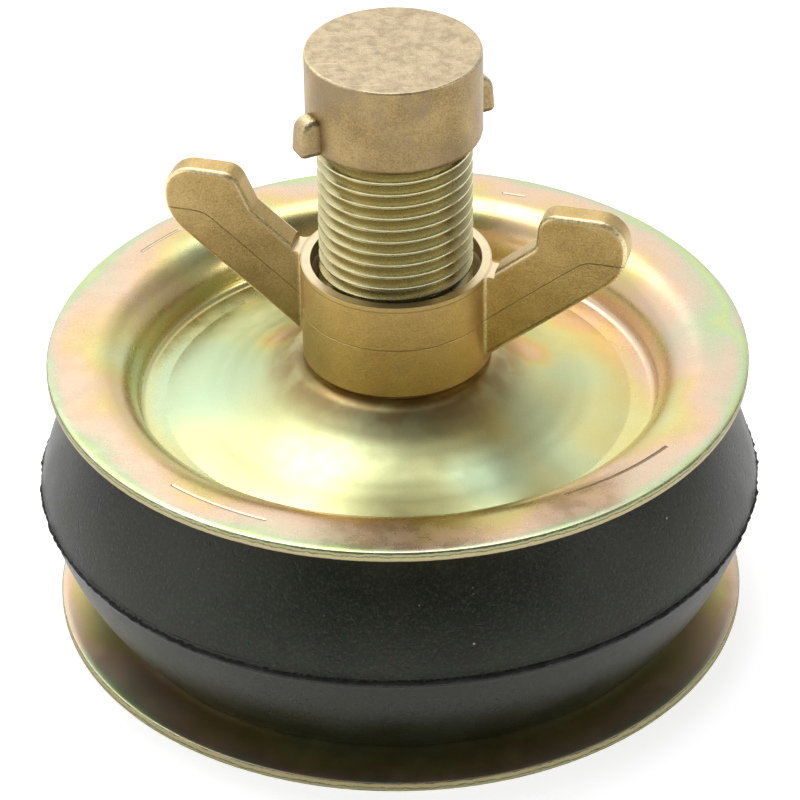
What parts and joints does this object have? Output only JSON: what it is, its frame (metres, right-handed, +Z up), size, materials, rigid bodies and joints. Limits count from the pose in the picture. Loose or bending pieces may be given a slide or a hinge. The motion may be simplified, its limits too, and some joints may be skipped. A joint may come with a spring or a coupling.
{
  "type": "pipe expansion plug",
  "caption": "Expanding pipe plug: dished steel plates squeeze a rubber ring when the wing nut turns down a hollow threaded spindle closed by a screwed cap.",
  "frame": {"origin": "on the spindle's axis, at the surface that the lower plate's rim stands on", "axes": "+Z up along the spindle towards the cap, +X towards the right-hand side of the picture's view, +Y away from it"},
  "size_m": [0.1005, 0.1004, 0.086],
  "materials": {
    "passivated_zinc": "bright zinc plate with a yellow passivation that shimmers pink and green",
    "zinc_thread": "zinc-plated thread, pale greenish yellow",
    "moulded_rubber": "matt black moulded rubber",
    "cast_brass": "matt cast brass, machined bright on the top face",
    "cap_brass": "matt cast brass, browner than the nut",
    "fibre": "red vulcanised fibre",
    "washer_rubber": "plain black rubber"
  },
  "bodies": {
    "base": {"bottom_plate": "passivated_zinc", "spindle": "zinc_thread", "base_seal_washer": "fibre", "rubber_ring": "moulded_rubber"},
    "upper_plate": {"top_plate": "passivated_zinc"},
    "nut": {"wing_nut": "cast_brass"},
    "cap_seal": {"cap_washer": "washer_rubber"},
    "screw_cap": {"cap": "cap_brass"}
  },
  "joints": [
    {"name": "plate_slide", "type": "slide", "parent": "base", "child": "upper_plate", "axis": [0, 0, -1], "range_m": [0, 0.0091], "deforming": ["rubber_ring"]},
    {"name": "nut_turn", "type": "hinge", "parent": "upper_plate", "child": "nut", "pos_m": [0, 0, 0.0464], "axis": [0, 0, -1], "range_deg": [0, 1800]},
    {"name": "cap_lift", "type": "slide", "parent": "base", "child": "cap_seal", "axis": [0, 0, 1], "range_m": [0, 0.0086]},
    {"name": "cap_turn", "type": "hinge", "parent": "cap_seal", "child": "screw_cap", "pos_m": [0, 0, 0.0797], "axis": [0, 0, 1], "range_deg": [0, 1700]}
  ],
  "couplings": [
    {"joint": "plate_slide", "follows": "nut_turn", "m_per_rad": 0.00028871},
    {"joint": "cap_lift", "follows": "cap_turn", "m_per_rad": 0.00028871}
  ]
}
